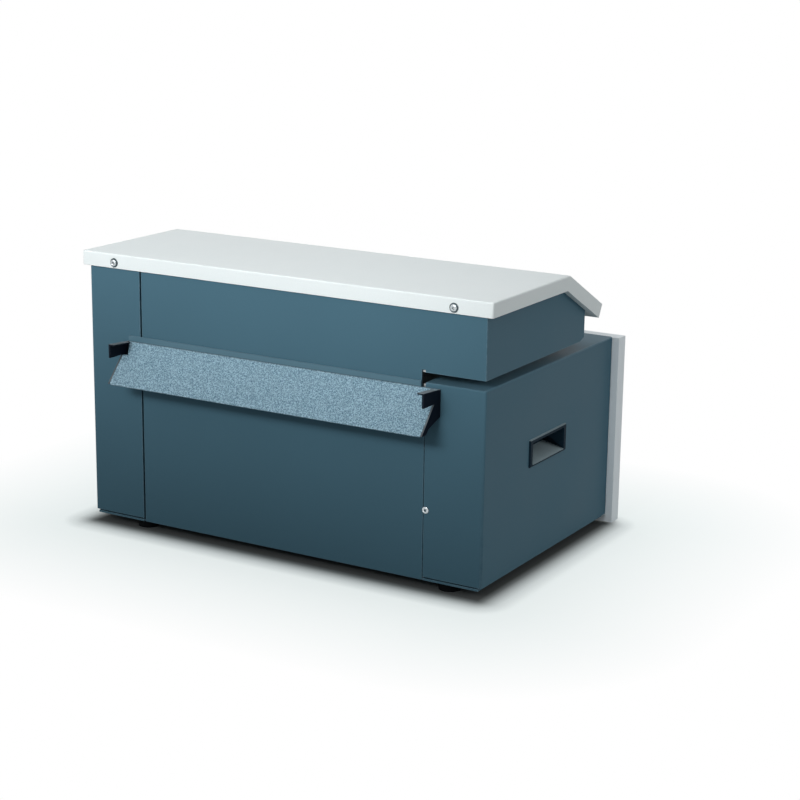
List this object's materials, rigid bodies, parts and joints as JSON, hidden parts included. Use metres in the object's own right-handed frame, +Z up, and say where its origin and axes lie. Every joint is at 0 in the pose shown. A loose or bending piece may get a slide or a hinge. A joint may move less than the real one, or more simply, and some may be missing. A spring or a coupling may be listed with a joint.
{
  "type": "tabletop cardboard perforator",
  "caption": "Tabletop machine that slits flat carton into padding mat: sheet-metal body, side-open feed throat, toothed rollers, sloping deflector and overhanging lid.",
  "frame": {"origin": "On the floor, at the middle of the machine's footprint.", "axes": "+Z up; +Y towards the feed side with the white panel, so the outlet and deflector face -Y; +X towards the side where the throat is open."},
  "size_m": [0.61, 0.4258, 0.3683],
  "materials": {
    "slate_paint": "satin slate-blue powder coat",
    "light_grey_paint": "satin light grey powder coat",
    "white_paint": "satin off-white powder coat",
    "hammertone_paint": "blue-grey hammertone enamel",
    "black_paint": "black semi-gloss paint",
    "plain_steel": "zinc-plated sheet",
    "roller_steel": "ground tool steel",
    "black_plastic": "fine-grained moulded plastic",
    "foot_rubber": "black rubber"
  },
  "bodies": {
    "root": {"left_side_cover": "slate_paint", "right_side_cover": "slate_paint", "front_panel": "slate_paint", "upper_front_panel": "slate_paint", "upper_end_panel": "slate_paint", "upper_rear_cover": "slate_paint", "upper_guide_plate": "plain_steel", "feed_table": "plain_steel", "outlet_guide": "plain_steel", "left_frame_plate": "plain_steel", "lower_frame_plate": "plain_steel", "upper_frame_plate": "plain_steel", "base_pan": "slate_paint", "foot_front_left": "foot_rubber", "foot_front_right": "foot_rubber", "foot_rear_left": "foot_rubber", "foot_rear_right": "foot_rubber", "lower_perforating_roller": "roller_steel", "upper_perforating_roller": "roller_steel", "lower_trim_knife": "roller_steel", "upper_trim_knife": "roller_steel", "deflector": "hammertone_paint", "deflector_bracket_left": "black_paint", "deflector_bracket_right": "black_paint", "lid": "light_grey_paint", "rear_panel": "white_paint", "power_switch": "black_plastic", "mains_inlet": "black_plastic", "left_handle": "black_plastic", "right_handle": "black_plastic"}
  },
  "joints": []
}
